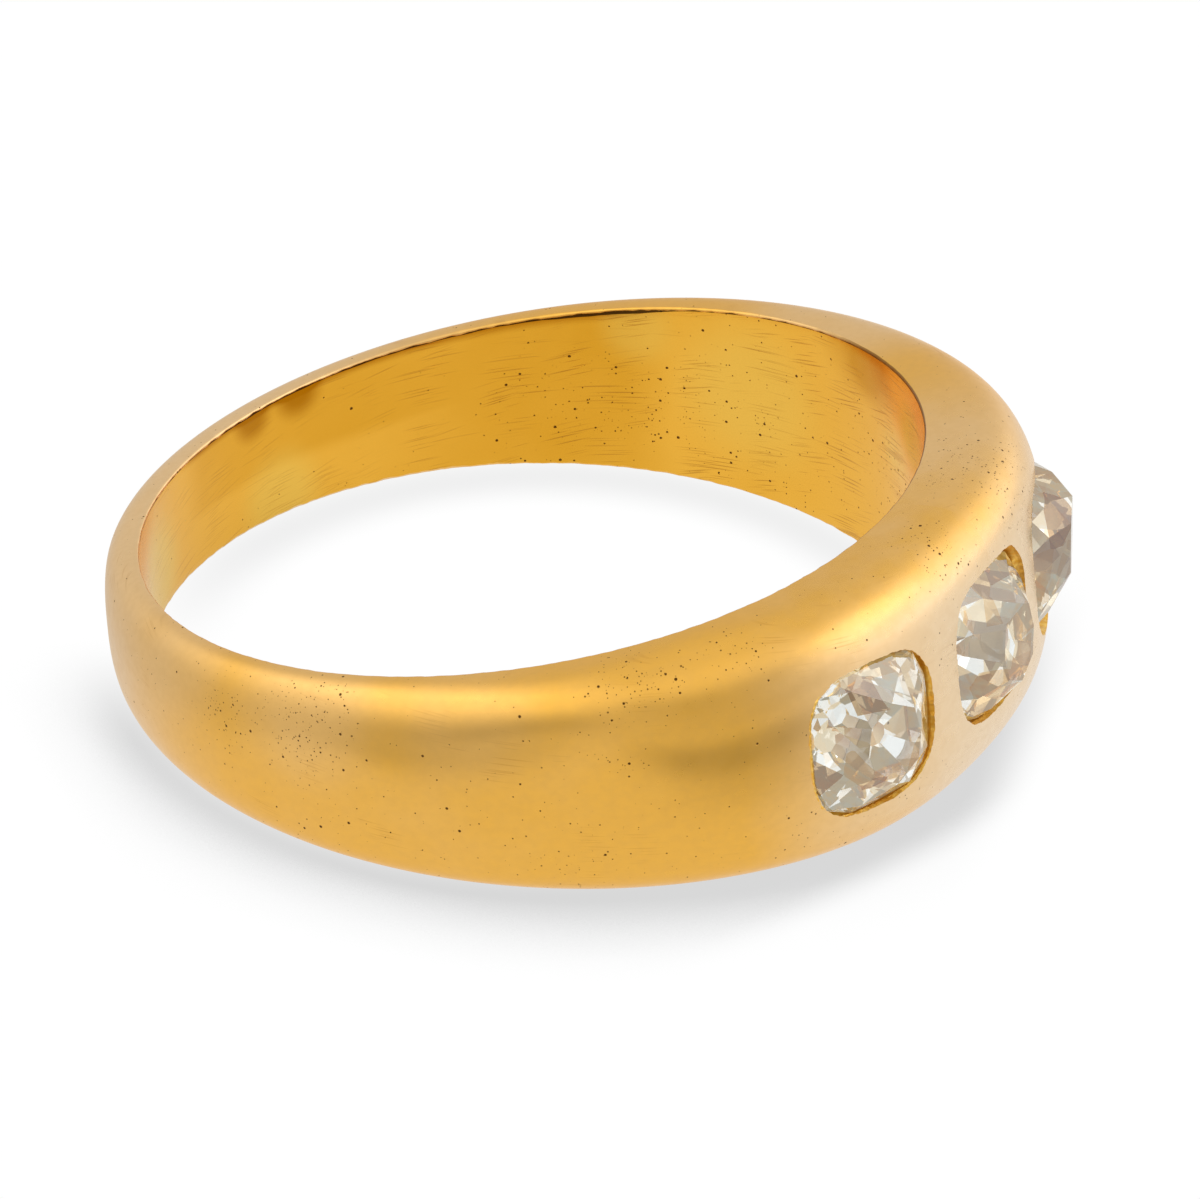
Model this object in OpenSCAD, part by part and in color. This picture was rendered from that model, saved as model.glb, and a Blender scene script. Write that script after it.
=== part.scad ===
// Gypsy ring: a gold band that swells into a thick head, with three old
// cushion-cut diamonds set flush across it. The ring lies on its side.
// The origin is where the middle line of the finger hole meets the surface
// that the ring rests on. The head points to +X and +Z is up.

/* [Band] */
// Inside diameter of the band, which is the finger size
finger_dia = 18.5; // [16.5:0.1:21]
// Width of the band at the stones, measured at the finger hole's edge
head_width = 6.4; // [6:0.1:8.5]
// Width of the band at the back of the finger
back_width = 2.9; // [2:0.1:4.5]
// Thickness that the gold had at the stones when it was new
head_thick = 2.9; // [2.7:0.05:3.6]
// Thickness of the gold at the back of the finger
back_thick = 0.9; // [0.6:0.05:1.5]
// Depth of gold worn off the top of the head, which leaves it a little flat
worn_flat = 0.45; // [0:0.05:0.5]
// How far round the finger the worn flat fades out, in degrees
worn_angle = 20; // [12:1:30]
// How late round the finger the thickness swells: 1 is even, more is later
swell_power = 2.5; // [1.2:0.1:3.5]
// How square the band's outside is across its width: 2 is a plain oval
dome_power = 3.4; // [2.4:0.1:5]
// Width of the flat rim between the finger hole and the rounded outside
rim_flat = 0.12; // [0.06:0.01:0.3]

/* [Stones] */
// Angle round the finger from one stone to the next, in degrees
pitch_angle = 23; // [22:0.5:28]
// Angle that the row of stones sits off the middle of the head, in degrees
row_angle = -2.6; // [-6:0.2:6]
// Size of a stone round the finger
stone_width = 3.66; // [3:0.02:4]
// Size of a stone along the finger
stone_length = 3.6; // [3:0.02:4.2]
// How square a stone's outline is: 2 is an oval, more is a squarer cushion
cushion_power = 3.2; // [2:0.1:4]
// Width of the table, the flat facet on top, round the finger
table_width = 1.64; // [1.2:0.02:2]
// Length of the table along the finger
table_length = 2.04; // [1.2:0.02:2.2]
// Height of the crown, from the girdle up to the table
crown_height = 0.9; // [0.6:0.01:1.1]
// Thickness of the girdle, the stone's outer edge
girdle_thick = 0.07; // [0.04:0.01:0.12]
// Depth of the pavilion, from the girdle down to the culet
pavilion_depth = 1.4; // [1:0.01:1.5]
// Width of the culet, the small flat facet at the bottom
culet_width = 0.56; // [0.3:0.02:0.9]
// Depth of the girdle's top edge below the gold beside the stone
girdle_sunk = 0.3; // [0.26:0.01:0.45]
// Lean of the stone that is set askew, in degrees
lean_angle = 4.5; // [0:0.5:6]

/* [Seats] */
// Clearance between a stone and the gold all round it
seat_gap = 0.04; // [0.03:0.005:0.06]
// How far the gold is pressed in over the girdle
lip_bite = 0.015; // [0:0.005:0.02]
// Height of the pressed lip's inner edge above the girdle
lip_rise = 0.1; // [0.09:0.01:0.12]
// Angle that the bright-cut edge above the lip leans outward, in degrees
bright_angle = 12; // [4:1:30]
// Diameter of the hole drilled behind each stone
back_hole_dia = 1.5; // [1:0.05:2]

/* [Hidden] */

// How finely the curves are cut into flat faces
band_sections = 112;
dome_steps = 24;
seat_steps = 48;
bore_fn = 128;
hole_fn = 48;

// Metal that the blank keeps inside the finger hole until it is bored
bore_stock = 0.5;
// How far a cutting tool runs past the metal that it cuts
overrun = 2;
// Tilt and height of the shared meets of a stone's facets, as shares of the
// crown's height and of the pavilion's depth
star_share = 0.45;
lower_share = 0.55;
// Squareness of the table's outline
table_power = 2.2;

bore_r = finger_dia / 2;
mid_half_width = (head_width + back_width) / 4;
side_slope = (head_width - back_width) / 4 / bore_r;
rest_tilt = atan(side_slope);
full_turn = 360;
mains = 8;
main_turn = full_turn / mains;

// Each stone's place in the row, in steps of the pitch, its width as a share
// of the stones' width, then its length, its offset along the finger and the
// offset of its table as shares of their length, and its share of the lean
PLACE = 0;
WIDTH = 1;
LENGTH = 2;
OFFSET = 3;
TABLE_OFFSET = 4;
LEAN = 5;
left_stone = [-0.985, 0.99, 1.03, 0, 0, 0];
centre_stone = [0.04, 1.01, 1, 0.05, 0, 0];
right_stone = [1, 1, 1, 0.04, 0.1, 1];
stones = [left_stone, centre_stone, right_stone];

gold = [0.86, 0.67, 0.36];
clear_stone = [0.92, 0.92, 0.9];

// Outline and thickness of the band

function off_row(a) =
    (a - row_angle + 3 * full_turn / 2) % full_turn - full_turn / 2;
function swell(a) = pow((1 + cos(a)) / 2, swell_power);
function wear(a) = worn_flat * exp(-pow(off_row(a) / worn_angle, 2));
function thick(a) = back_thick + (head_thick - back_thick) * swell(a) - wear(a);
function half_width(x) = mid_half_width + side_slope * x;
function blunt(v) = sign(v) * pow(abs(v), 2 / dome_power);
function in_ring(r, a, up) = [r * cos(a), r * sin(a), up * half_width(r * cos(a))];

// One section across the band: from the bore's stock along the lower side,
// over the rounded outside and back along the upper side
function band_section(a) = concat(
    [in_ring(bore_r - bore_stock, a, -1)],
    [for (j = [0 : dome_steps])
        let (p = -90 + 180 * j / dome_steps,
             r = bore_r + rim_flat + (thick(a) - rim_flat) * blunt(cos(p)))
        in_ring(r, a, blunt(sin(p)))],
    [in_ring(bore_r - bore_stock, a, 1)]);

// The band before it is bored and the seats are cut
module band_blank() {
    n = dome_steps + 3;
    points = [for (i = [0 : band_sections - 1])
        each band_section(full_turn * i / band_sections)];
    faces = [for (i = [0 : band_sections - 1], j = [0 : n - 1])
        let (here = i * n, next = (i + 1) % band_sections * n, k = (j + 1) % n)
        each [[here + j, here + k, next + k], [here + j, next + k, next + j]]];
    polyhedron(points, faces, convexity = 6);
}

// A closed solid through rings of points that run round the same way
module loft(rings) {
    n = len(rings[0]);
    top = len(rings) - 1;
    points = [for (ring = rings) each ring];
    sides = [for (k = [0 : top - 1], i = [0 : n - 1])
        let (j = (i + 1) % n)
        each [[k * n + i, (k + 1) * n + i, (k + 1) * n + j],
              [k * n + i, (k + 1) * n + j, k * n + j]]];
    bottom_face = [for (i = [0 : n - 1]) i];
    top_face = [for (i = [n - 1 : -1 : 0]) top * n + i];
    polyhedron(points, concat([bottom_face], sides, [top_face]), convexity = 4);
}

// Cushion outline with half sizes w and l, at the angle a
function cushion(a, w, l, power) =
    let (r = pow(pow(abs(cos(a)) / w, power) + pow(abs(sin(a)) / l, power), -1 / power))
    [r * cos(a), r * sin(a)];

// Direction square to that outline, at the angle a
function cushion_normal(a, w, l, power) =
    let (p = cushion(a, w, l, power),
         g = [sign(p[0]) * pow(abs(p[0]) / w, power - 1) / w,
              sign(p[1]) * pow(abs(p[1]) / l, power - 1) / l])
    g / norm(g);

// Where two level lines meet, each given by its normal and its distance
function meet(n1, d1, n2, d2) =
    let (det = n1[0] * n2[1] - n1[1] * n2[0])
    [(d1 * n2[1] - d2 * n1[1]) / det, (n1[0] * d2 - n2[0] * d1) / det];

function half_w(s) = stone_width * s[WIDTH] / 2;
function half_l(s) = stone_length * s[LENGTH] / 2;
function stone_angle(s) = row_angle + pitch_angle * s[PLACE];

// Old mine cut: a table, 8 stars, 8 mains and 16 breaks over the girdle, and
// 16 lower breaks, 8 mains and a culet under it. Z = 0 is the girdle's top.
module stone(s) {
    w = half_w(s);
    l = half_l(s);
    odd = main_turn / 2;
    outline = [for (i = [0 : 2 * mains - 1]) cushion(odd * i, w, l, cushion_power)];
    normals = [for (i = [0 : mains]) cushion_normal(main_turn * i, w, l, cushion_power)];
    edge = [for (i = [0 : mains]) normals[i] * outline[2 * i % (2 * mains)]];
    table = [for (i = [0 : mains - 1])
        cushion(main_turn * i, table_width * s[WIDTH] / 2,
                table_length * s[LENGTH] / 2, table_power)
        + [0, stone_length * s[TABLE_OFFSET]]];
    inner = [for (i = [0 : mains]) normals[i] * table[i % mains]];

    function crown_at(i, share) = edge[i] + (inner[i] - edge[i]) * share;
    function pavilion_at(i, share) = edge[i] + (culet_width / 2 - edge[i]) * share;
    function level(p, z) = [p[0], p[1], z];
    function crown_meet(i, share) =
        meet(normals[i], crown_at(i, share), normals[i + 1], crown_at(i + 1, share));
    function pavilion_meet(i, share) =
        meet(normals[i], pavilion_at(i, share), normals[i + 1], pavilion_at(i + 1, share));

    each_main = [0 : mains - 1];
    points = concat(
        [for (p = table) level(p, crown_height)],
        [for (i = each_main) level(crown_meet(i, star_share), crown_height * star_share)],
        [for (p = outline) level(p, 0)],
        [for (p = outline) level(p, -girdle_thick)],
        [for (i = each_main) level(pavilion_meet(i, lower_share),
                                   -girdle_thick - pavilion_depth * lower_share)],
        [for (i = each_main) level(pavilion_meet(i, 1), -girdle_thick - pavilion_depth)]);

    // Number of each kind of corner in the list of points
    function table_c(i) = (i + mains) % mains;
    function star_c(i) = mains + (i + mains) % mains;
    function top_c(i) = 2 * mains + i % (2 * mains);
    function low_c(i) = 4 * mains + i % (2 * mains);
    function lower_c(i) = 6 * mains + (i + mains) % mains;
    function culet_c(i) = 7 * mains + (i + mains) % mains;

    faces = concat(
        [[for (i = [mains - 1 : -1 : 0]) table_c(i)]],
        [for (i = each_main) [table_c(i + 1), star_c(i), table_c(i)]],
        [for (i = each_main) [star_c(i), top_c(2 * i), star_c(i - 1), table_c(i)]],
        [for (i = each_main) [top_c(2 * i + 1), top_c(2 * i), star_c(i)]],
        [for (i = each_main) [top_c(2 * i + 2), top_c(2 * i + 1), star_c(i)]],
        [for (i = [0 : 2 * mains - 1]) [top_c(i + 1), low_c(i + 1), low_c(i), top_c(i)]],
        [for (i = each_main) [low_c(2 * i + 1), lower_c(i), low_c(2 * i)]],
        [for (i = each_main) [low_c(2 * i + 2), lower_c(i), low_c(2 * i + 1)]],
        [for (i = each_main) [lower_c(i), culet_c(i), culet_c(i - 1), lower_c(i - 1),
                              low_c(2 * i)]],
        [[for (i = each_main) culet_c(i)]]);
    polyhedron(points, faces, convexity = 2);
}

// Puts what is modelled at a stone's girdle into its place in the head: X runs
// round the finger, Y along it and Z straight out
module at_seat(s) {
    rotate([0, 0, stone_angle(s)])
        translate([bore_r + thick(stone_angle(s)) - girdle_sunk, 0, stone_length * s[OFFSET]])
            rotate([90 + lean_angle * s[LEAN], 0, 90])
                children();
}

// What is cut out of the gold for one stone: the drilled hole, the taper that
// clears the pavilion, the groove for the girdle, the lip and the bright cut
module seat(s) {
    w = half_w(s);
    l = half_l(s);
    top = crown_height + overrun;
    flare = (top - lip_rise) * tan(bright_angle);
    hole_r = back_hole_dia / 2;
    culet_z = -girdle_thick - pavilion_depth;
    function outline_at(grow, z) = [for (i = [0 : seat_steps - 1])
        let (p = cushion(full_turn * i / seat_steps, w + grow, l + grow, cushion_power))
        [p[0], p[1], z]];
    function circle_at(r, z) = [for (i = [0 : seat_steps - 1])
        let (a = full_turn * i / seat_steps)
        [r * cos(a), r * sin(a), z]];
    loft([circle_at(hole_r + seat_gap, culet_z),
          outline_at(seat_gap, -girdle_thick - seat_gap),
          outline_at(seat_gap, 0),
          outline_at(-lip_bite, lip_rise),
          outline_at(flare - lip_bite, top)]);
    translate([0, 0, culet_z - head_thick])
        cylinder(r = hole_r, h = head_thick + seat_gap, $fn = hole_fn);
}

// Lays the ring on the flat of its lower side, as it rests by itself
module at_rest() {
    rotate([0, -rest_tilt, 0])
        translate([0, 0, mid_half_width])
            children();
}

module band() {
    color(gold) at_rest() difference() {
        band_blank();
        cylinder(r = bore_r, h = 2 * head_width, center = true, $fn = bore_fn);
        for (s = stones) at_seat(s) seat(s);
    }
}

module diamond(s) {
    color(clear_stone) at_rest() at_seat(s) stone(s);
}

module diamond_left() {
    diamond(left_stone);
}

module diamond_centre() {
    diamond(centre_stone);
}

module diamond_right() {
    diamond(right_stone);
}

band();
diamond_left();
diamond_centre();
diamond_right();
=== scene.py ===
# %% [markdown]
# # A worn gold ring with three old diamonds, lying on its side
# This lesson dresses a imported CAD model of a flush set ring. The CAD gives the sizes and places.
# Here the band gets its satin skin, its pinholes and its ragged seat edges, the stones get their
# fire, and a pale studio is built round them.

# %% Load the CAD frame
import math

import bmesh
import bpy
from mathutils import Matrix, Vector, noise


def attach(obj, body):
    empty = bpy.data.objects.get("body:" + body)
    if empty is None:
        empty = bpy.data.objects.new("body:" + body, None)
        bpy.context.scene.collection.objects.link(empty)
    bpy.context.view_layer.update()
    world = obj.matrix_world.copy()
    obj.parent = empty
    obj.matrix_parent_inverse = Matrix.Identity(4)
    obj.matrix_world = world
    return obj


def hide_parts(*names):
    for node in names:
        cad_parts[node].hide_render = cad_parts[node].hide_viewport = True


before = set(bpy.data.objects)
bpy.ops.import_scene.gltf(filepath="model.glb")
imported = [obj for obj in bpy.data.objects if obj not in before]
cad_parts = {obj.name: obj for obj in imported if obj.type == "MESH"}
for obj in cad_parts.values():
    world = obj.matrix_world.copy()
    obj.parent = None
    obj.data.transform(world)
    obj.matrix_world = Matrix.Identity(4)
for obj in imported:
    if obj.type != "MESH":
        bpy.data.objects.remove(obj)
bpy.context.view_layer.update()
print("CAD nodes:", sorted(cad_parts))

# %% [markdown]
# ## Sizes
# Blender works in metres, but a jeweller works in millimetres, so the sizes are written as on the
# bench and turned into metres at the end. They are the CAD model's own values. The ring was drawn
# standing square on its finger hole, and then laid down on the flat of its lower side, so one
# matrix takes any point of that drawing to its place on the floor.

# %% Sizes of the ring in millimetres
MM = 0.001
TO_MM = 1 / MM
hole_r = 9.25
head_width, back_width = 6.4, 2.9
head_thick, back_thick = 2.9, 0.9
worn_flat, worn_angle = 0.45, math.radians(20)
swell_power, dome_power = 2.5, 3.4
rim_flat, edge_radius = 0.12, 0.06
shoulder_power = 2.2
rubbed_from, rubbed_to, rub_fade = math.radians(195), math.radians(335), math.radians(25)
spared_angle, spared_reach = math.radians(298), math.radians(12)
row_angle, pitch_angle = math.radians(-2.6), math.radians(23)
lean_angle = math.radians(4.5)
stone_width, stone_length, cushion_power = 3.66, 3.6, 3.2
girdle_thick, pavilion_depth = 0.07, 1.4
girdle_sunk, seat_gap = 0.3, 0.04
lip_bite, lip_rise = 0.015, 0.1
bright_angle, open_reach = math.radians(12), math.radians(30)
back_hole_r = 0.75

mid_half = (head_width + back_width) / 4
side_slope = (head_width - back_width) / 4 / hole_r
rest_tilt = math.atan(side_slope)
laid_down = Matrix.Rotation(-rest_tilt, 4, "Y") @ Matrix.Translation((0, 0, mid_half))
print(f"The ring leans {math.degrees(rest_tilt):.2f} degrees as it rests on its side")

# %% [markdown]
# A band like this is cast or forged thick at the front and thin at the back, and then filed. One
# rule gives its thickness: a cosine that swells towards the head, less a shallow flat where the row
# of stones was worn. Plain Python is enough here, because only the seats ask for it.


# %% Thickness of the gold round the finger
def swell(angle):
    return ((1 + math.cos(angle)) / 2) ** swell_power


def thick(angle):
    off_row = (angle - row_angle + math.pi) % math.tau - math.pi
    wear = worn_flat * math.exp(-((off_row / worn_angle) ** 2))
    return back_thick + (head_thick - back_thick) * swell(angle) - wear


print(f"Gold at the head {thick(0):.2f} mm, at the back {thick(math.pi):.2f} mm")

# %% [markdown]
# ## The three seats
# Each stone has its own place, width, length, offset along the finger and lean. A matrix for each
# seat takes a point at the stone's girdle, with Z pointing out of the head, to its place on the
# floor. Everything round a stone is made with it.

# %% Place of each seat
seats = {
    "left": dict(step=-0.985, wide=0.99, long=1.03, offset=0.0, lean=0.0),
    "centre": dict(step=0.04, wide=1.01, long=1.0, offset=0.05, lean=0.0),
    "right": dict(step=1.0, wide=1.0, long=1.0, offset=0.04, lean=1.0),
}
# Where the pushed gold has come away from a stone: the turn round its edge, how far, and how
# high the bead of pushed gold lies
seats["left"].update(open_at=0.0, open_by=0.12, lip_height=0.06)
seats["centre"].update(open_at=math.radians(32), open_by=0.12, lip_height=0.06)
seats["right"].update(open_at=0.0, open_by=0.0, lip_height=-0.12)


def seat_matrix(seat):
    turn = row_angle + pitch_angle * seat["step"]
    out = hole_r + thick(turn) - girdle_sunk
    spin = Matrix.Rotation(turn, 4, "Z")
    place = Matrix.Translation((out, 0, stone_length * seat["offset"]))
    stand = Matrix.Rotation(math.pi / 2, 4, "Z")
    stand = stand @ Matrix.Rotation(math.pi / 2 + lean_angle * seat["lean"], 4, "X")
    return laid_down @ spin @ place @ stand


def cushion(angle, half_w, half_l, power=cushion_power):
    across = (abs(math.cos(angle)) / half_w) ** power
    along = (abs(math.sin(angle)) / half_l) ** power
    reach = (across + along) ** (-1 / power)
    return reach * math.cos(angle), reach * math.sin(angle)


for name, seat in seats.items():
    seat["matrix"] = seat_matrix(seat)
    seat["half_w"] = stone_width * seat["wide"] / 2
    seat["half_l"] = stone_length * seat["long"] / 2
    print(name, "girdle at", [round(c, 2) for c in seat["matrix"].translation], "mm")

# %% [markdown]
# ## Camera
# The photograph looks down on the ring at about thirty degrees from the side of its head, through
# a long lens. The camera was fitted to the rims and stones of the CAD model, so the picture is only
# described here: a direction, a distance, a scale, and a small lens shift for the framing.


# %% Camera
def add_object(name, data):
    """A new object, placed in the scene."""
    made = bpy.data.objects.new(name, data)
    bpy.context.scene.collection.objects.link(made)
    return made


picture_w, picture_h = 1200, 1199
look_azimuth, look_height, look_roll = map(math.radians, (-66.78, 30.556, 0.279))
look_distance = 420.0
pixels_per_mm = 42.805
ring_pixel = (539.13, 575.88)

back = Vector((
    math.cos(look_height) * math.cos(look_azimuth),
    math.cos(look_height) * math.sin(look_azimuth),
    math.sin(look_height),
))
level = Vector((-math.sin(look_azimuth), math.cos(look_azimuth), 0))
right = level * math.cos(look_roll) + back.cross(level) * math.sin(look_roll)
up = back.cross(right)
ring_centre = laid_down.translation
eye = (ring_centre + back * look_distance) * MM

lens = bpy.data.cameras.new("camera")
lens.sensor_width = 36
lens.lens = pixels_per_mm * look_distance * lens.sensor_width / picture_w
lens.shift_x = (picture_w / 2 - ring_pixel[0]) / picture_w
lens.shift_y = (ring_pixel[1] - picture_h / 2) / picture_w
lens.clip_start, lens.clip_end = 0.01, 10
camera = add_object("camera", lens)
camera.matrix_world = Matrix((
    (right.x, up.x, back.x, eye.x),
    (right.y, up.y, back.y, eye.y),
    (right.z, up.z, back.z, eye.z),
    (0, 0, 0, 1),
))
bpy.context.scene.camera = camera
print(f"Camera {look_distance:.0f} mm away, lens {lens.lens:.0f} mm")

# %% [markdown]
# ## Arithmetic in node trees
# Geometry trees and material trees both do sums with Math nodes, and long chains of them are
# tedious to write. A small class stands for a number that travels along a wire. Adding or
# multiplying two of them places the Math node and links it, so a formula reads as on paper.


# %% A number on a wire
FLOAT = "NodeSocketFloat"


class Wire:
    def __init__(self, tree, socket):
        self.tree, self.socket = tree, socket

    def do(self, operation, *others):
        node = self.tree.nodes.new("ShaderNodeMath")
        node.operation = operation
        for slot, value in zip(node.inputs, (self, *others)):
            plug(self.tree, value, slot)
        return Wire(self.tree, node.outputs[0])

    def __add__(self, other):
        return self.do("ADD", other)

    def __sub__(self, other):
        return self.do("SUBTRACT", other)

    def __mul__(self, other):
        return self.do("MULTIPLY", other)

    def __truediv__(self, other):
        return self.do("DIVIDE", other)

    def __pow__(self, other):
        return self.do("POWER", other)

    def __rsub__(self, other):
        return (self * -1) + other

    def __rtruediv__(self, other):
        return (self ** -1) * other

    __radd__, __rmul__ = __add__, __mul__


def plug(tree, value, slot):
    """Links a wire or a socket into slot, or sets a plain value there."""
    if isinstance(value, Wire):
        value = value.socket
    if isinstance(value, bpy.types.NodeSocket):
        tree.links.new(value, slot)
    else:
        slot.default_value = value


def add_node(tree, kind, *inputs, **settings):
    """A node with its inputs filled in order. None leaves an input as it is."""
    node = tree.nodes.new(kind)
    named = settings.pop("named", {})
    for key, value in settings.items():
        setattr(node, key, value)
    for slot, value in zip(node.inputs, inputs):
        if value is not None:
            plug(tree, value, slot)
    for key, value in named.items():
        plug(tree, value, node.inputs[key])
    return node


def number(tree, node, output=0):
    return Wire(tree, node.outputs[output])


# %% [markdown]
# A few nodes come up in nearly every tree: vectors put together and taken apart, the place of a
# point, a soft step and noise. Each gets a short function that adds the node and returns its
# output. The last function makes an empty group with the sockets that its lists name.


# %% Nodes that come up often
def vector_of(tree, x, y, z):
    return add_node(tree, "ShaderNodeCombineXYZ", x, y, z).outputs[0]


def parts_of(tree, vector):
    node = add_node(tree, "ShaderNodeSeparateXYZ", vector)
    return [Wire(tree, out) for out in node.outputs]


def object_place(tree):
    """Where the shaded point lies in its object, in metres."""
    return tree.nodes.new("ShaderNodeTexCoord").outputs["Object"]


def smooth(tree, value, low, high, to_low=0.0, to_high=1.0):
    """Turns low to high into to_low to to_high, with soft ends."""
    node = add_node(tree, "ShaderNodeMapRange", value, low, high, to_low, to_high,
                    interpolation_type="SMOOTHSTEP")
    return number(tree, node)


def noise_of(tree, vector, scale, detail=2.0):
    node = add_node(tree, "ShaderNodeTexNoise",
                    named={"Vector": vector, "Scale": scale, "Detail": detail})
    return number(tree, node)


def new_tree(name, kind, inputs, outputs):
    """A node group with its sockets made from (name, type, default)."""
    tree = bpy.data.node_groups.new(name, kind)
    for label, sort, default in inputs:
        made = tree.interface.new_socket(label, in_out="INPUT", socket_type=sort)
        if default is not None:
            made.default_value = default
    for label, sort in outputs:
        tree.interface.new_socket(label, in_out="OUTPUT", socket_type=sort)
    ins = tree.nodes.new("NodeGroupInput")
    outs = tree.nodes.new("NodeGroupOutput")
    return tree, ins.outputs, outs.inputs


# %% [markdown]
# A geometry tree only runs on an object that has it as a modifier. So an empty object carries the
# tree for a moment, its result is copied as a plain mesh, and the object goes away again. Plain
# meshes are easy to cut, join and hand over.


# %% Turning a geometry tree into a plain mesh
def grow(name, tree, **values):
    """Runs a geometry tree on an empty mesh and returns a plain mesh."""
    seed = add_object(name + "_seed", bpy.data.meshes.new(name + "_seed"))
    run = seed.modifiers.new("grow", "NODES")
    run.node_group = tree
    for item in tree.interface.items_tree:
        label = item.name.replace(" ", "_").lower()
        if item.in_out == "INPUT" and label in values:
            run[item.identifier] = values[label]
    graph = bpy.context.evaluated_depsgraph_get()
    mesh = bpy.data.meshes.new_from_object(seed.evaluated_get(graph))
    bpy.data.objects.remove(seed)
    mesh.name = name
    return mesh


# %% [markdown]
# ## Shared effects
# A finish that several materials need is a node group, built once. First comes a group that finds
# where a point lies on the ring: how far round the finger, how high, and how far out. It undoes the
# tilt of the resting ring, and puts the join of the angle inside the head, where stones hide it.


# %% Where a point lies on the ring
def ring_place_group():
    tree, _, outs = new_tree(
        "ring_place", "ShaderNodeTree", [],
        [("Place", "NodeSocketVector"), ("Turn", FLOAT), ("Rise", FLOAT), ("Out", FLOAT)],
    )
    here = object_place(tree)
    x, y, z = parts_of(tree, here)
    x, y, z = x * TO_MM, y * TO_MM, z * TO_MM
    cos_t, sin_t = math.cos(rest_tilt), math.sin(rest_tilt)
    along_x = x * cos_t + z * sin_t
    along_z = z * cos_t - x * sin_t - mid_half
    turn = (y * -1).do("ARCTAN2", along_x * -1)
    out = (along_x * along_x + y * y).do("SQRT")
    rise = along_z / (along_x * side_slope + mid_half)
    plug(tree, vector_of(tree, turn * hole_r, along_z, out), outs["Place"])
    plug(tree, turn, outs["Turn"])
    plug(tree, rise, outs["Rise"])
    plug(tree, out, outs["Out"])
    return tree


ring_place = ring_place_group()


def place_on_ring(tree):
    node = tree.nodes.new("ShaderNodeGroup")
    node.node_tree = ring_place
    return node.outputs


# %% [markdown]
# Pinholes are tiny pores left from casting, opened by years of polishing. They come in clusters. A
# Voronoi texture gives one cell to each possible pore. The share input says how common pores are
# at a place, and each cell's own random colour says whether it has one, and how large.


# %% Pinholes
def pinholes_group():
    tree, ins, outs = new_tree(
        "pinholes", "ShaderNodeTree",
        [("Cells per mm", FLOAT, 5.0), ("Size", FLOAT, 0.3), ("Share", FLOAT, 0.2)],
        [("Mask", FLOAT)],
    )
    here = object_place(tree)
    per_metre = Wire(tree, ins["Cells per mm"]) * TO_MM
    cells = add_node(tree, "ShaderNodeTexVoronoi", voronoi_dimensions="3D", feature="F1",
                     named={"Vector": here, "Scale": per_metre})
    chance, girth, _ = parts_of(tree, cells.outputs["Color"])
    has_one = chance.do("LESS_THAN", Wire(tree, ins["Share"]))
    radius = (girth ** 3 * 0.65 + 0.35) * Wire(tree, ins["Size"])
    inside = smooth(tree, cells.outputs["Distance"], radius * 0.6, radius, 1.0, 0.0)
    plug(tree, inside * has_one, outs["Mask"])
    return tree


pinholes = pinholes_group()

# %% [markdown]
# Hair scratches run round the finger, from years of turning and cleaning. Each is one cell of a
# Voronoi texture stretched a long way along the band, so it is straight and tapers at both ends. A
# slow noise gathers them in tufts. A slant lets two sets cross at a small angle.


# %% Hair scratches
def scratches_group():
    tree, ins, outs = new_tree(
        "hair_scratches", "ShaderNodeTree",
        [("Lines per mm", FLOAT, 9.0), ("Length in mm", FLOAT, 2.0),
         ("Slant", FLOAT, 0.0), ("Share", FLOAT, 0.5)],
        [("Mask", FLOAT)],
    )
    place = place_on_ring(tree)["Place"]
    along, across, out = parts_of(tree, place)
    across = across + along * Wire(tree, ins["Slant"])
    lines = Wire(tree, ins["Lines per mm"])
    # Sets with different slants take their lines from different cells
    shift = Wire(tree, ins["Slant"]) * 97
    at = vector_of(tree, along / Wire(tree, ins["Length in mm"]) + shift, across * lines, 0.0)
    cells = add_node(tree, "ShaderNodeTexVoronoi", voronoi_dimensions="2D", feature="F1",
                     named={"Vector": at, "Scale": 1.0})
    chance, girth, _ = parts_of(tree, cells.outputs["Color"])
    radius = girth * 0.24 + 0.16
    line = (1 - Wire(tree, cells.outputs["Distance"]) / radius).do("MAXIMUM", 0.0) * 1.6
    line = line.do("MINIMUM", 1.0) * chance.do("LESS_THAN", 0.5)
    shifted = vector_of(tree, along * 0.6, across + shift, out)
    where = add_node(tree, "ShaderNodeMapRange", noise_of(tree, shifted, 0.9, 1.0),
                     0.9 - Wire(tree, ins["Share"]), 1.1 - Wire(tree, ins["Share"]))
    plug(tree, line * number(tree, where), outs["Mask"])
    return tree


scratches = scratches_group()
print("Shared effects:", [group.name for group in bpy.data.node_groups])


# %% [markdown]
# ## Gold
# Old eighteen carat gold isn't one colour. On the head, and again low at the back, it is painted
# pale:
# partly a little haze, and partly painted highlight where bright light washes the gold out. Between
# them it is deeper, and inside the band, where gold mirrors gold, it is painted nearly orange. The
# skin is satin outside, and brighter and scratched inside. Noise alone would scatter the marks
# evenly, so the larger marks, of wear and of painted light and shade, are soft round spots at named
# places on the ring: the angle from the middle of the head, the height from -1 at the lower rim to
# 1 at the upper, and a reach.


# %% Helpers for the gold
def use_group(tree, group, **values):
    node = tree.nodes.new("ShaderNodeGroup")
    node.node_tree = group
    for label, value in values.items():
        plug(tree, value, node.inputs[label.replace("_", " ")])
    return Wire(tree, node.outputs[0])


def mix_colour(tree, share, first, second):
    node = tree.nodes.new("ShaderNodeMix")
    node.data_type = "RGBA"
    # The node has sockets for each kind of data. Its colours are inputs 6 and 7, and output 2
    plug(tree, share, node.inputs[0])
    plug(tree, first, node.inputs[6])
    plug(tree, second, node.inputs[7])
    return node.outputs[2]


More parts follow.
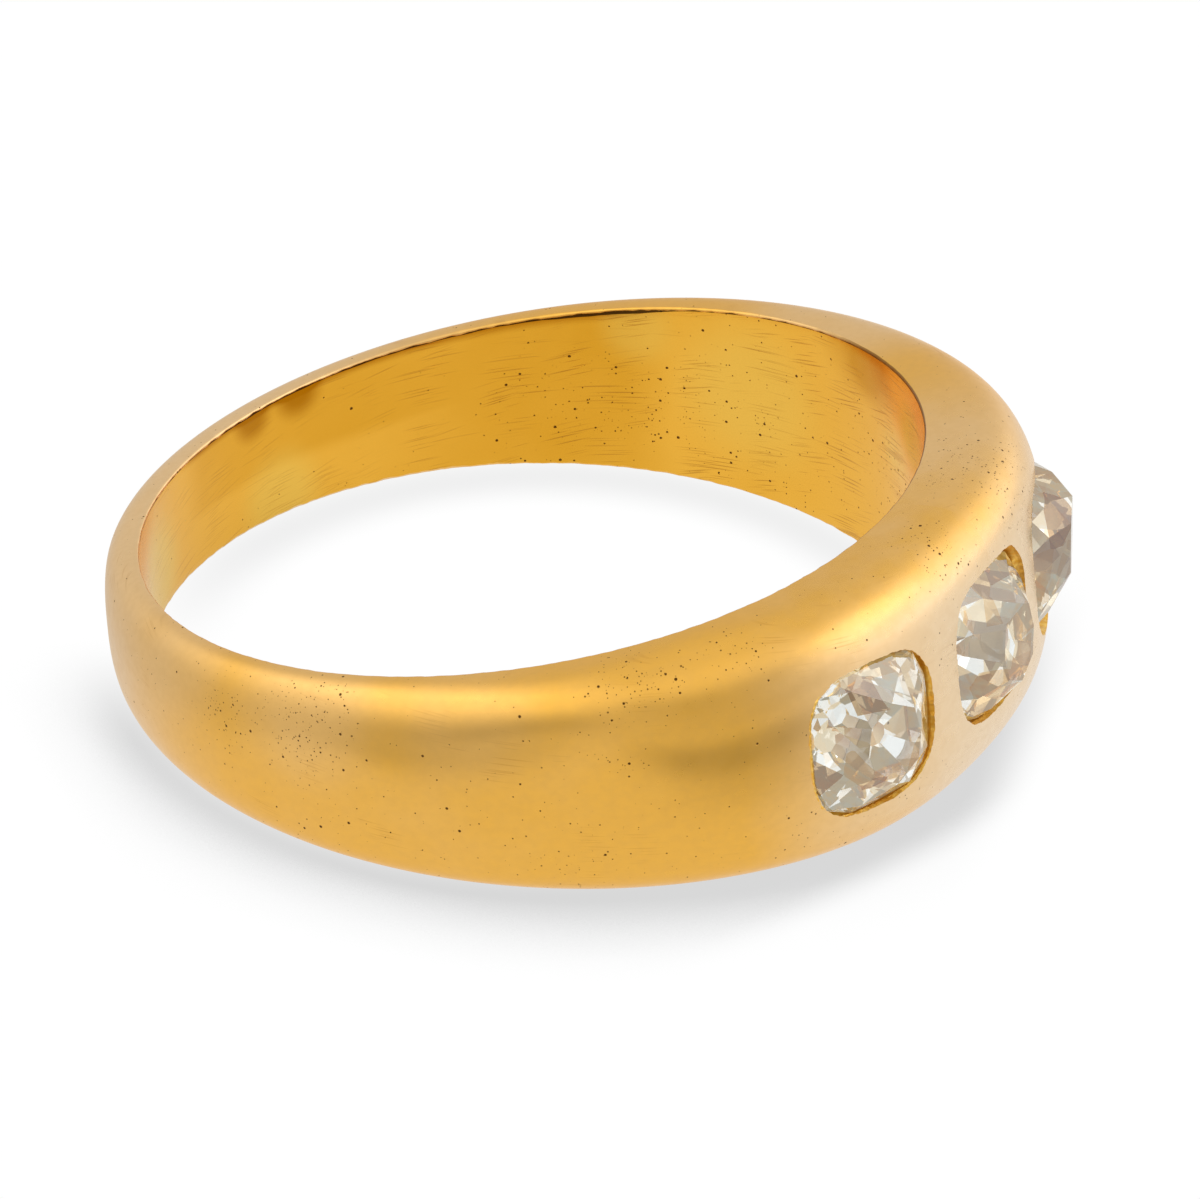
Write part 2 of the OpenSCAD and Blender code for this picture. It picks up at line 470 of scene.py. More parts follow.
def blank_material(name, metallic=0.0):
    made = bpy.data.materials.new(name)
    made.use_nodes = True
    skin = made.node_tree.nodes["Principled BSDF"]
    skin.inputs["Metallic"].default_value = metallic
    return made, made.node_tree, skin


def away_from(tree, vector, place):
    """The distance in millimetres of a point in metres from a place in millimetres."""
    node = add_node(tree, "ShaderNodeVectorMath", vector, place * MM, operation="DISTANCE")
    return number(tree, node, "Value") * TO_MM


def spots(tree, marks, out):
    """Adds up soft round spots, each given by its angle in degrees, height, reach and strength."""
    here = object_place(tree)
    total = None
    for angle, height, reach, strength in marks:
        turn = math.radians(angle)
        half = mid_half + side_slope * out * math.cos(turn)
        centre = Vector((out * math.cos(turn), out * math.sin(turn), height * half))
        away = away_from(tree, here, laid_down @ centre)
        glow = smooth(tree, away, reach * 0.3, reach, strength, 0.0)
        total = glow if total is None else total + glow
    return total


scratch_brown, pit_dark = (0.42, 0.17, 0.02, 1), (0.08, 0.027, 0.004, 1)


def scratched_colour(tree, colour, pit, hair, hair_depth):
    colour = mix_colour(tree, hair * hair_depth, colour, scratch_brown)
    return mix_colour(tree, pit * 0.92, colour, pit_dark)


def pits(tree, common, size, tiny_share, tiny_depth):
    """Pinholes of two sizes, of which the tiny ones are shallower."""
    pit = use_group(tree, pinholes, Cells_per_mm=6.5, Size=size, Share=common)
    tiny = use_group(tree, pinholes, Cells_per_mm=12.5, Size=0.34, Share=tiny_share)
    return pit.do("MAXIMUM", tiny * tiny_depth)


def add_relief(tree, skin, height):
    bump = add_node(tree, "ShaderNodeBump",
                    named={"Distance": MM, "Strength": 1.0, "Height": height})
    plug(tree, bump.outputs[0], skin.inputs["Normal"])


# %% Satin gold of the outside
def satin_skin():
    made, tree, skin = blank_material("satin_gold", metallic=1.0)
    ring = place_on_ring(tree)
    place, turn = ring["Place"], Wire(tree, ring["Turn"])
    cloud, fine = noise_of(tree, place, 0.35, 3.0) - 0.5, noise_of(tree, place, 5.0, 4.0) - 0.5
    mottle = noise_of(tree, place, 1.3, 4.0) - 0.5
    rise, backwards = Wire(tree, ring["Rise"]), turn.do("COSINE")
    # The angle is measured from the back, so the head is where its cosine is -1
    forwards = backwards * -1
    to_head, to_back = smooth(tree, forwards, 0.72, 0.97), smooth(tree, backwards, 0.36, 0.9)
    to_rim = smooth(tree, rise.do("ABSOLUTE"), 0.62, 0.95)
    near_side = smooth(tree, turn.do("SINE"), -0.35, 0.05)
    # The pale share is partly haze and partly painted highlight, and the spots add painted
    # highlights along the upper rims
    share = to_head * (1 - to_rim * (0.5 + near_side * 0.35)) + to_back * 0.75 + cloud * 0.35
    share = share + spots(tree, [(66, 0.95, 3.6, 0.55), (-76, 0.9, 2.4, 0.2),
                                 (-98, 0.9, 2.8, 0.3), (-122, 0.9, 2.0, 0.2)], hole_r + 1.0)
    share = (share + mottle * 0.4 * to_head).do("MAXIMUM", 0.0)
    rich, pale, palest = (0.93, 0.505, 0.085, 1), (0.95, 0.68, 0.38, 1), (0.97, 0.82, 0.62, 1)
    grain_brown, edge_line_brown = (0.62, 0.36, 0.11, 1), (0.20, 0.075, 0.008, 1)
    colour = mix_colour(tree, share, rich, pale)
    # The very middle of the head is painted palest: partly rubbed wear, partly painted sheen
    rubbed = smooth(tree, forwards, 0.93, 0.995) * smooth(tree, rise, 0.8, 0.5)
    colour = mix_colour(tree, rubbed * 0.45, colour, palest)
    clusters = [(-98, 0.6, 2.0, 0.7), (-112, 0.4, 1.4, 0.6), (-53, 0.9, 1.6, 0.5),
                (-40, 0.92, 1.2, 0.4), (-56, 0.3, 1.0, 0.3), (-8, 0.8, 1.5, 0.4),
                (12, 0.9, 2.2, 0.5), (-62, -0.6, 1.8, 0.2)]
    common = spots(tree, clusters, hole_r + 1.4) + smooth(tree, cloud, -0.1, 0.25, 0.04, 0.12)
    pit = pits(tree, common * 0.85, 0.31, common * 1.2, 0.8)
    hair = use_group(tree, scratches, Lines_per_mm=20.0, Length_in_mm=1.4, Slant=0.12, Share=0.36)
    grain = smooth(tree, fine, -0.2, 0.25)
    colour = mix_colour(tree, grain * 0.12, colour, grain_brown)
    colour = scratched_colour(tree, colour, pit, hair, 0.25)
    # A thin dark line is painted where the head's upper edge meets the finger hole
    inmost = smooth(tree, Wire(tree, ring["Out"]), hole_r + 0.05, hole_r + 0.03)
    line = inmost * rise.do("GREATER_THAN", 0.5) * smooth(tree, forwards, 0.35, 0.6)
    colour = mix_colour(tree, line * 0.85, colour, edge_line_brown)
    plug(tree, colour, skin.inputs["Base Color"])
    roughness = fine * 0.1 + mottle * 0.12 + cloud * 0.08 + 0.31 + pit * 0.3 - to_head * 0.03
    plug(tree, roughness + hair * 0.06, skin.inputs["Roughness"])
    add_relief(tree, skin, fine * 0.0004 + mottle * 0.0008 - pit * 0.03 - hair * 0.0001)
    return made


satin_gold = satin_skin()
print(satin_gold.name, "has", len(satin_gold.node_tree.nodes), "nodes")


# %% [markdown]
# The wall of the hole is smooth gold that faces more gold, so it is painted deep and orange. A
# finger and the cloth have rubbed it along the band, which leaves hair scratches, and its sharp
# upper edge gets a thin dark line. Its colours are laid on in turn: the deep gold, browner places
# of painted shade and lighter places of painted reflection, and then pits, scratches and the dark
# edge line.


# %% Worn gold of the inside
def inner_skin():
    made, tree, skin = blank_material("inner_gold", metallic=1.0)
    ring = place_on_ring(tree)
    place, turn = ring["Place"], Wire(tree, ring["Turn"])
    cloud, fine = noise_of(tree, place, 0.3, 3.0) - 0.5, noise_of(tree, place, 4.0, 4.0) - 0.5
    deep, amber, umber = (0.94, 0.49, 0.055, 1), (0.70, 0.31, 0.004, 1), (0.48, 0.17, 0.001, 1)
    yellow, olive, edge_line_dark = (0.90, 0.62, 0.12, 1), (0.82, 0.52, 0.01, 1), (0.05, 0.02, 0.004, 1)
    # Painted shade: darker amber places high on the wall
    painted_shade_places = spots(tree, [(53, 0.85, 1.4, 0.75), (57, 1.0, 1.8, 0.5)], hole_r)
    # Painted shade: the far side of the slim back is browner, most of all along its upper edge
    ring_rise = Wire(tree, ring["Rise"])
    backwards, nearwards = turn.do("COSINE"), turn.do("SINE")
    back_half = smooth(tree, backwards, 0.02, 0.2)
    far_back = back_half * smooth(tree, nearwards, -0.02, -0.15)
    low_too = smooth(tree, nearwards, -0.62, -0.85)
    brown = smooth(tree, ring_rise, -0.3, 0.0).do("MAXIMUM", low_too) * 0.45
    painted_shade_places = painted_shade_places + far_back * brown
    colour = mix_colour(tree, (painted_shade_places + cloud * 0.6).do("MAXIMUM", 0.0), deep, amber)
    painted_brown_shade = far_back * smooth(tree, ring_rise, 0.82, 0.97) * 0.8
    painted_brown_shade = painted_brown_shade + spots(tree, [(151, 0.95, 0.9, 0.9), (160, 0.9, 0.8, 0.8)], hole_r)
    colour = mix_colour(tree, painted_brown_shade, colour, umber)
    # Painted reflections: lighter yellow and olive places where the wall mirrors bright light
    painted_reflection_places = spots(tree, [(80, 0.1, 2.6, 0.35), (47, 0.2, 0.9, 0.3), (98, 0.75, 1.2, 0.3),
                                (156, -0.7, 1.6, 0.45), (190, -0.3, 1.8, 0.6)], hole_r)
    colour = mix_colour(tree, painted_reflection_places, colour, yellow)
    olive_reflection_place = spots(tree, [(39, 0.5, 1.2, 1.0)], hole_r)
    colour = mix_colour(tree, olive_reflection_place, colour, olive)
    clusters = [(75, -0.1, 5.0, 0.13), (48, -0.1, 1.8, 0.55), (78, -0.18, 0.5, 1.0),
                (92, -0.2, 1.8, 0.3), (100, -0.4, 1.6, 0.3), (112, -0.2, 2.4, 0.2)]
    common = spots(tree, clusters, hole_r) + smooth(tree, cloud, -0.1, 0.25, 0.01, 0.06)
    pit = pits(tree, common, 0.29, common * 0.9, 0.85)
    hair = use_group(tree, scratches, Lines_per_mm=18.0, Length_in_mm=2.2, Slant=0.02, Share=0.47)
    cross = use_group(tree, scratches, Lines_per_mm=18.0, Length_in_mm=1.6, Slant=0.2, Share=0.45)
    # In the photo the wall of the slim back shows fewer scratches
    hair = hair.do("MAXIMUM", cross) * smooth(tree, backwards, 0.85, 0.5, 0.5, 1.0)
    colour = scratched_colour(tree, colour, pit, hair, 0.6)
    # A thin dark line is painted along the sharp upper edge, thickest on the side away from the
    # camera
    edge_noise = noise_of(tree, place, 1.6, 3.0) - 0.5
    wider_edge_line = spots(tree, [(102, 1.0, 2.2, 0.05)], hole_r)
    _, height, _ = parts_of(tree, place)
    below = height / ring_rise.do("MAXIMUM", 0.1) - height
    far_side = back_half * smooth(tree, nearwards, -0.05, -0.3)
    wide = edge_radius + (edge_noise * 0.06 + 0.018) * far_side + wider_edge_line + 0.01
    edge = smooth(tree, below, wide + 0.012, wide) * smooth(tree, ring_rise, 0.5, 0.6)
    colour = mix_colour(tree, edge * 0.93, colour, edge_line_dark)
    plug(tree, colour, skin.inputs["Base Color"])
    roughness = fine * 0.12 + cloud * 0.12 + 0.21 + pit * 0.3 + hair * 0.1
    plug(tree, roughness + edge * 0.3, skin.inputs["Roughness"])
    add_relief(tree, skin, fine * 0.0012 - pit * 0.03 - hair * 0.0012)
    return made


inner_gold = inner_skin()
print(inner_gold.name, "has", len(inner_gold.node_tree.nodes), "nodes")


# %% [markdown]
# The graver leaves a bright cut round each stone, and years of soap leave a dull skin behind it.
# How far out a point lies tells the two apart, so one material serves both.


# %% Bright gold of the seats
def seat_skin():
    made, tree, skin = blank_material("seat_gold", metallic=1.0)
    ring = place_on_ring(tree)
    fine = noise_of(tree, ring["Place"], 9.0, 3.0) - 0.5
    bright, brightest, dulled = (0.90, 0.50, 0.07, 1), (0.98, 0.66, 0.18, 1), (0.62, 0.44, 0.24, 1)
    colour = mix_colour(tree, smooth(tree, fine, -0.2, 0.2), bright, brightest)
    # Behind the stone old soap and skin have dulled the gold
    girdle_out = hole_r + thick(0) - girdle_sunk
    behind = smooth(tree, Wire(tree, ring["Out"]), girdle_out, girdle_out - 0.25)
    colour = mix_colour(tree, behind, colour, dulled)
    plug(tree, colour, skin.inputs["Base Color"])
    # Painted light: a faint glow stands in for the light that bounces about in the narrow groove
    groove_glow, deep_glow = (0.05, 0.022, 0.001, 1), (0.01, 0.006, 0.002, 1)
    glow = mix_colour(tree, behind, groove_glow, deep_glow)
    plug(tree, glow, skin.inputs["Emission Color"])
    skin.inputs["Emission Strength"].default_value = 1.0
    plug(tree, fine * 0.15 + 0.32 + behind * 0.1, skin.inputs["Roughness"])
    add_relief(tree, skin, fine * 0.008)
    return made


seat_gold = seat_skin()
print(seat_gold.name, "has", len(seat_gold.node_tree.nodes), "nodes")

# %% [markdown]
# ## Band
# The band follows one rule: its sides are two flat planes that open towards the head, its thickness
# swells with the cosine of the angle, and its outside is a blunt oval. Such a band could be pushed
# out of a torus by hand, but a geometry tree holds the rule itself, so any size can still be
# changed. These are the parts of the rule. The thickness is the one above, now for a whole sheet of
# corners at once.


# %% The band's rule
def noise_at(x, y, z, scale, detail):
    return noise_of(x.tree, vector_of(x.tree, x, y, z), scale, detail) - 0.5


def thickness(size, angle, cosine):
    swollen = ((cosine + 1) / 2) ** size["Swell power"]
    off = (angle - size["Row angle"]).do("WRAP", math.pi, -math.pi) / size["Worn angle"]
    worn = size["Worn flat"] * (off * off * -1).do("EXPONENT")
    spread = size["Head thickness"] - size["Back thickness"]
    return size["Back thickness"] + spread * swollen - worn


def half_width(size, out, cosine):
    return size["Middle half width"] + size["Side slope"] * out * cosine


def rubbed(size, angle):
    """Where the upper shoulder is rubbed rounder, from 0 to 1."""
    start, end, fade = size["Rubbed from"], size["Rubbed to"], size["Rub fade"]
    window = smooth(angle.tree, angle, start, start + fade)
    window = window * (1 - smooth(angle.tree, angle, end - fade, end))
    off = (angle - size["Spared angle"]) / size["Spared reach"]
    return window * (1 - (off * off * -1).do("EXPONENT"))


# %% [markdown]
# The surface is made of four sheets: the outside, the two rims and the wall of the hole. Each has a
# function that takes the angle round the finger and the share of the way across, and says how far
# out and how high that corner lies. A little noise gives the rims their nicks and the outside its
# handwork.

# %% Outside, rims and wall
rim_flat_share = 0.4  # how much of a rim's sheet is flat, before it bends over the edge


def outside(size, angle, cosine, sine, share):
    lean = (share - 0.5) * math.pi
    c, s = lean.do("COSINE").do("ABSOLUTE"), lean.do("SINE")
    upper = share.do("GREATER_THAN", 0.5)
    worn = (size["Dome power"] - size["Shoulder power"]) * rubbed(size, angle)
    n = size["Dome power"] - worn * upper
    reach = (c ** n + s.do("ABSOLUTE") ** n) ** (-1 / n)
    bulge = reach * c
    uneven = noise_at(cosine, sine, s * 0.35, 3.2, 2.0) * size["Handwork"] * bulge
    depth = thickness(size, angle, cosine) - size["Rim flat"]
    out = size["Hole radius"] + size["Rim flat"] + depth * bulge + uneven
    return out, half_width(size, out, cosine) * reach * s


def edge_size(size, cosine, sine, side):
    nicks = noise_at(cosine, sine, side, 26.0, 5.0) * 2.4
    return size["Edge radius"] * (nicks + 1.0).do("MAXIMUM", 0.35)


def rim(side):
    """The upper rim where side is 1, the lower one where it is -1."""

    def shape(size, angle, cosine, sine, share):
        share = share if side > 0 else 1 - share
        edge = edge_size(size, cosine, sine, side)
        flat = (share / rim_flat_share).do("MINIMUM", 1.0)
        bend = ((share - rim_flat_share) / (1 - rim_flat_share)).do("MAXIMUM", 0.0)
        bend = bend * (math.pi / 2)
        inwards = edge * bend.do("SINE")
        over = size["Rim flat"] + (edge - size["Rim flat"]) * flat - inwards
        drop = edge * (1 - bend.do("COSINE"))
        out = size["Hole radius"] + over
        return out, (half_width(size, out, cosine) - drop) * side

    return shape


def wall(size, angle, cosine, sine, share):
    half = half_width(size, size["Hole radius"], cosine)
    top = half - edge_size(size, cosine, sine, 1)
    low = half * -1 + edge_size(size, cosine, sine, -1)
    return size["Hole radius"], top + (low - top) * share


# %% [markdown]
# The tree starts with a flat grid for each sheet. The grid's X becomes the angle and its Y the
# share across, and a Set Position node puts every corner where the sheet's function says. Merging
# by distance then closes the seams. The sizes are inputs of the tree, so they can also be tried
# out by hand in a modifier's panel.

# %% The tree that bends four sheets into a band
band_sizes = {
    "Hole radius": hole_r, "Middle half width": mid_half, "Side slope": side_slope,
    "Head thickness": head_thick, "Back thickness": back_thick, "Worn flat": worn_flat,
    "Worn angle": worn_angle, "Row angle": row_angle, "Swell power": swell_power,
    "Dome power": dome_power, "Rim flat": rim_flat, "Shoulder power": shoulder_power,
    "Rubbed from": rubbed_from, "Rubbed to": rubbed_to, "Rub fade": rub_fade,
    "Spared angle": spared_angle, "Spared reach": spared_reach, "Edge radius": edge_radius,
    "Handwork": 0.02,
}
steps_round = 600
# Each sheet's steps across, its shape and its finish
sheets = [(6, rim(-1), "Outside"), (18, wall, "Inside"),
          (6, rim(1), "Outside"), (84, outside, "Outside")]
weld_reach = 0.0004  # corners of two sheets that lie closer than this, in mm, become one


def band_tree():
    tree, ins, outs = new_tree(
        "band_by_rule", "GeometryNodeTree",
        [(label, FLOAT, value) for label, value in band_sizes.items()]
        + [("Steps round", "NodeSocketInt", steps_round),
           ("Outside", "NodeSocketMaterial", None), ("Inside", "NodeSocketMaterial", None)],
        [("Geometry", "NodeSocketGeometry")],
    )
    size = {label: Wire(tree, ins[label]) for label in band_sizes}
    joined = tree.nodes.new("GeometryNodeJoinGeometry")
    corners_round = Wire(tree, ins["Steps round"]) + 1
    for steps_across, shape, finish in sheets:
        grid = add_node(tree, "GeometryNodeMeshGrid", 1.0, 1.0, corners_round, steps_across + 1)
        x, y, _ = parts_of(tree, tree.nodes.new("GeometryNodeInputPosition").outputs[0])
        angle, share = (x + 0.5) * math.tau, y + 0.5
        cosine, sine = angle.do("COSINE"), angle.do("SINE")
        out, rise = shape(size, angle, cosine, sine, share)
        place = vector_of(tree, out * cosine, out * sine, rise)
        moved = add_node(tree, "GeometryNodeSetPosition", grid.outputs["Mesh"], None, place)
        made = add_node(tree, "GeometryNodeSetMaterial", moved.outputs[0],
                        named={"Material": ins[finish]})
        tree.links.new(made.outputs[0], joined.inputs[0])
    closed = add_node(tree, "GeometryNodeMergeByDistance", joined.outputs[0],
                      named={"Distance": weld_reach})
    soft = add_node(tree, "GeometryNodeSetShadeSmooth", closed.outputs[0])
    real = add_node(tree, "GeometryNodeRealizeInstances", soft.outputs[0])
    plug(tree, real.outputs[0], outs[0])
    return tree


band_mesh = grow("band_gold", band_tree(), outside=satin_gold, inside=inner_gold)
band_mesh.transform(laid_down)
print("Band before the seats are cut:", len(band_mesh.polygons), "faces")

# %% [markdown]
# ## Seats
# A flush seat is cut down into the gold, and the metal round the stone is pushed over its edge with
# a hard steel point. The edge that is left is never a clean line: it is bitten and torn. So each
# seat is cut with a plug whose outline wanders. Mesh code makes the plug ring by ring, from the
# drilled hole behind the stone up to the open top, and an exact boolean cuts all three.


# %% The wandering outline of a seat
seat_steps, lip_steps, lip_step_height = 288, 26, 0.04


def wander(turn, height, seed, fine):
    """How far the outline strays at this angle and height, from about -1 to 1."""
    at = Vector((math.cos(turn) * fine, math.sin(turn) * fine, height * 3 + seed))
    return noise.noise(at) + 0.5 * noise.noise(at * 2.7)


def opening(seat, turn):
    off = (turn - seat["open_at"] + math.pi) % math.tau - math.pi
    return seat["open_by"] * math.exp(-((off / open_reach) ** 4))


def seat_rings(seat, seed):
    culet = -girdle_thick - pavilion_depth
    # From inside the finger hole up to the girdle, where the stone is widest, and then the lip
    levels = [("hole", -head_thick - 1), ("hole", culet), ("drill", culet),
              ("wall", -girdle_thick - seat_gap), ("wall", 0)]
    levels += [("lip", lip_rise + lip_step_height * i) for i in range(lip_steps)]
    rings = []
    for kind, height in levels:
        ring = []
        for i in range(seat_steps):
            turn = math.tau * i / seat_steps
            if kind in ("hole", "drill"):
                reach = back_hole_r + (seat_gap if kind == "drill" else 0)
                x, y = reach * math.cos(turn), reach * math.sin(turn)
            else:
                grow_by = seat_gap
                if kind == "lip":
                    rise = height - lip_rise
                    grow_by = -lip_bite + rise * math.tan(bright_angle)
                    rag = 0.03 * wander(turn, height * 0.5, seed, 7)
                    rag += 0.02 * wander(turn, height, seed + 9, 22)
                    # The lip reaches over the stone by only so much, and more the higher it is
                    grow_by += max(rag, -0.02 - rise * 0.3) + opening(seat, turn)
                x, y = cushion(turn, seat["half_w"] + grow_by, seat["half_l"] + grow_by)
            ring.append(seat["matrix"] @ Vector((x, y, height)))
        rings.append(ring)
    return rings


# %% Plugs that cut the seats
def loft(shape, rings):
    """A closed shell through rings that run round the same way."""
    corners = [[shape.verts.new(point) for point in ring] for ring in rings]
    n = len(rings[0])
    for lower, upper in zip(corners, corners[1:]):
        for i in range(n):
            j = (i + 1) % n
            shape.faces.new((lower[i], lower[j], upper[j], upper[i]))
    shape.faces.new(reversed(corners[0]))
    shape.faces.new(corners[-1])


def finished(name, shape):
    """The plain mesh of what mesh code has built."""
    made = bpy.data.meshes.new(name)
    shape.to_mesh(made)
    shape.free()
    return made


plugs = bmesh.new()
for index, (name, seat) in enumerate(seats.items()):
    loft(plugs, seat_rings(seat, 17.0 * index))
plug_mesh = finished("seat_plugs", plugs)
plug_mesh.materials.append(seat_gold)
print("Seat plugs:", len(plug_mesh.polygons), "faces")


# %% [markdown]
# A boolean modifier takes the plugs out of the band. The exact solver is slower than the fast one,
# but it leaves a closed mesh, and the cut faces keep the plugs' material: the bright seat gold.


# %% Cut the seats
def cut_away(target, tool):
    """One mesh less another, as a new plain mesh."""
    first, second = add_object("first", target), add_object("second", tool)
    cut = first.modifiers.new("cut", "BOOLEAN")
    cut.operation, cut.solver, cut.object = "DIFFERENCE", "EXACT", second
    cut.material_mode = "TRANSFER"
    graph = bpy.context.evaluated_depsgraph_get()
    made = bpy.data.meshes.new_from_object(first.evaluated_get(graph))
    for item in (first, second):
        bpy.data.objects.remove(item)
    return made


cut_band = cut_away(band_mesh, plug_mesh)
print("Band with its seats cut:", len(cut_band.polygons), "faces")

# %% [markdown]
# ## Pressed lips and burrs
# Where the steel point pushed the gold down, it left a thin uneven bead along the stone's edge,
# and here and there a burr that stands up. Both follow a path, so a second geometry tree draws
# the stone's outline as a curve, gives it a ragged radius, sweeps a round profile along it, and
# sets burrs on it. The path comes first.

# %% The ragged path of a lip
lip_sizes = {
    "Half width": 1.8, "Half length": 1.8, "Power": cushion_power, "Height": 0.06,
    "Bead radius": 0.027, "Burr share": 0.07, "Burr size": 0.04, "Open at": 0.0, "Open by": 0.0,
}
outline_steps, bead_steps = 420, 8


def circle(tree, steps):
    return add_node(tree, "GeometryNodeCurvePrimitiveCircle",
                    named={"Resolution": steps, "Radius": 1.0}).outputs[0]


def ragged_path(tree, size, seed):
    """A stone's outline as a curve, with an uneven course and girth."""
    x, y, _ = parts_of(tree, tree.nodes.new("GeometryNodeInputPosition").outputs[0])
    n = size["Power"]
    across = (x.do("ABSOLUTE") / size["Half width"]) ** n
    along = (y.do("ABSOLUTE") / size["Half length"]) ** n
    reach = (across + along) ** (-1 / n)
    shift = seed * 3.7
    rough_at = vector_of(tree, x, y, shift)
    broad, fine = noise_of(tree, rough_at, 5.0, 3.0) - 0.5, noise_of(tree, rough_at, 21.0) - 0.5
    off = (y.do("ARCTAN2", x) - size["Open at"]).do("WRAP", math.pi, -math.pi) / open_reach
    gap = size["Open by"] * (off * off * off * off * -1).do("EXPONENT")
    stray = reach + broad * 0.06 + fine * 0.03 + gap
    place = vector_of(tree, x * stray, y * stray, size["Height"] + broad * 0.06)
    path = add_node(tree, "GeometryNodeSetPosition", circle(tree, outline_steps), None, place)
    girth = size["Bead radius"] * ((broad * 2.6 + fine * 2.2) + 1.0).do("MAXIMUM", 0.3)
    return add_node(tree, "GeometryNodeSetCurveRadius", path.outputs[0], None, girth).outputs[0]


# %% [markdown]
# A burr is a small squashed ball. Each point of the path gets a random number, and only the few
# points with a low one carry a burr, each of its own random size. The seed is an input, so every
# stone gets other burrs, and they stay where they are from one run to the next.


# %% The tree for a pressed lip
def burrs_on(tree, size, seed, path):
    chance = add_node(tree, "FunctionNodeRandomValue", data_type="FLOAT", named={"Seed": seed})
    # A Random Value node has an output for each kind of data, and number 1 is the plain number
    here = number(tree, chance, 1).do("LESS_THAN", size["Burr share"])
    dots = add_node(tree, "GeometryNodeCurveToPoints", path, mode="EVALUATED")
    ball = add_node(tree, "GeometryNodeMeshIcoSphere", 1.0, 2)
    girths = add_node(tree, "FunctionNodeRandomValue", (0.3, 0.3, 0.3), (1.0, 1.0, 1.0),
                      data_type="FLOAT_VECTOR", named={"Seed": seed + 5})
    grown = add_node(tree, "ShaderNodeVectorMath", girths.outputs[0], operation="SCALE",
                     named={"Scale": size["Burr size"]})
    burrs = add_node(tree, "GeometryNodeInstanceOnPoints", dots.outputs[0], named={
        "Instance": ball.outputs[0], "Selection": here, "Scale": grown.outputs[0]})
    return burrs.outputs[0]


def lip_tree():
    tree, ins, outs = new_tree(
        "pressed_lip", "GeometryNodeTree",
        [(label, FLOAT, value) for label, value in lip_sizes.items()]
        + [("Seed", "NodeSocketInt", 3), ("Gold", "NodeSocketMaterial", None)],
        [("Geometry", "NodeSocketGeometry")],
    )
    size = {label: Wire(tree, ins[label]) for label in lip_sizes}
    seed = Wire(tree, ins["Seed"])
    path = ragged_path(tree, size, seed)
    radius = tree.nodes.new("GeometryNodeInputRadius").outputs[0]
    bead = add_node(tree, "GeometryNodeCurveToMesh", path, circle(tree, bead_steps),
                    named={"Scale": radius})
    joined = tree.nodes.new("GeometryNodeJoinGeometry")
    tree.links.new(burrs_on(tree, size, seed, path), joined.inputs[0])
    tree.links.new(bead.outputs[0], joined.inputs[0])
    real = add_node(tree, "GeometryNodeRealizeInstances", joined.outputs[0])
    soft = add_node(tree, "GeometryNodeSetShadeSmooth", real.outputs[0])
    made = add_node(tree, "GeometryNodeSetMaterial", soft.outputs[0],
                    named={"Material": ins["Gold"]})
    plug(tree, made.outputs[0], outs[0])
    return tree


pressed_lip = lip_tree()
bead_off = 0.022  # from the stone's edge out to the middle of the bead
lips = []
for index, (name, seat) in enumerate(seats.items()):
    lip = grow("lip_" + name, pressed_lip, half_width=seat["half_w"] + bead_off,
               half_length=seat["half_l"] + bead_off, seed=3 + index, gold=seat_gold,
               open_at=seat["open_at"], open_by=seat["open_by"], height=seat["lip_height"])
    lip.transform(seat["matrix"])
    lips.append(lip)
    print("Lip of the", name, "stone:", len(lip.polygons), "faces")


# %% [markdown]
# The lips are the band's own gold, so all of it is handed over as one piece. Each mesh counts its
# own materials from zero, so the faces get new numbers from one common list before the joining.


# %% Join the gold into one piece
crease_angle = math.radians(38)


def joined_mesh(name, meshes):
    """One mesh of several, with each one's materials kept."""
    stock = []
    whole = bmesh.new()
    for mesh in meshes:
        for material in mesh.materials:
            if material not in stock:
                stock.append(material)
        mark = [stock.index(material) for material in mesh.materials]
        part = bmesh.new()
        part.from_mesh(mesh)
        for face in part.faces:
            face.material_index = mark[face.material_index]
        whole.from_mesh(finished("held", part))
    made = finished(name, whole)
    for material in stock:
        made.materials.append(material)
    return made


gold_mesh = joined_mesh("band_gold", [cut_band, *lips])
gold_mesh.transform(Matrix.Scale(MM, 4))
gold_mesh.set_sharp_from_angle(angle=crease_angle)
band = add_object("band_gold", gold_mesh)
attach(band, "root")
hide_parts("band")
print("Band:", sum(len(p.vertices) - 2 for p in gold_mesh.polygons), "triangles")

# %% [markdown]
# ## Diamonds
# The CAD stones already have the right facets, so they keep their meshes and only get a glass of
# their own. Diamond bends light far more than glass does, so most of what enters the crown comes
# back out of it. The gold and the brown backs of old stones show in it as splinters of colour. A
# Voronoi texture paints such splinters into the glass as painted reflections, and a faint glow
# stands for light that bounces inside.


# %% Diamond
diamond_ior = 2.417


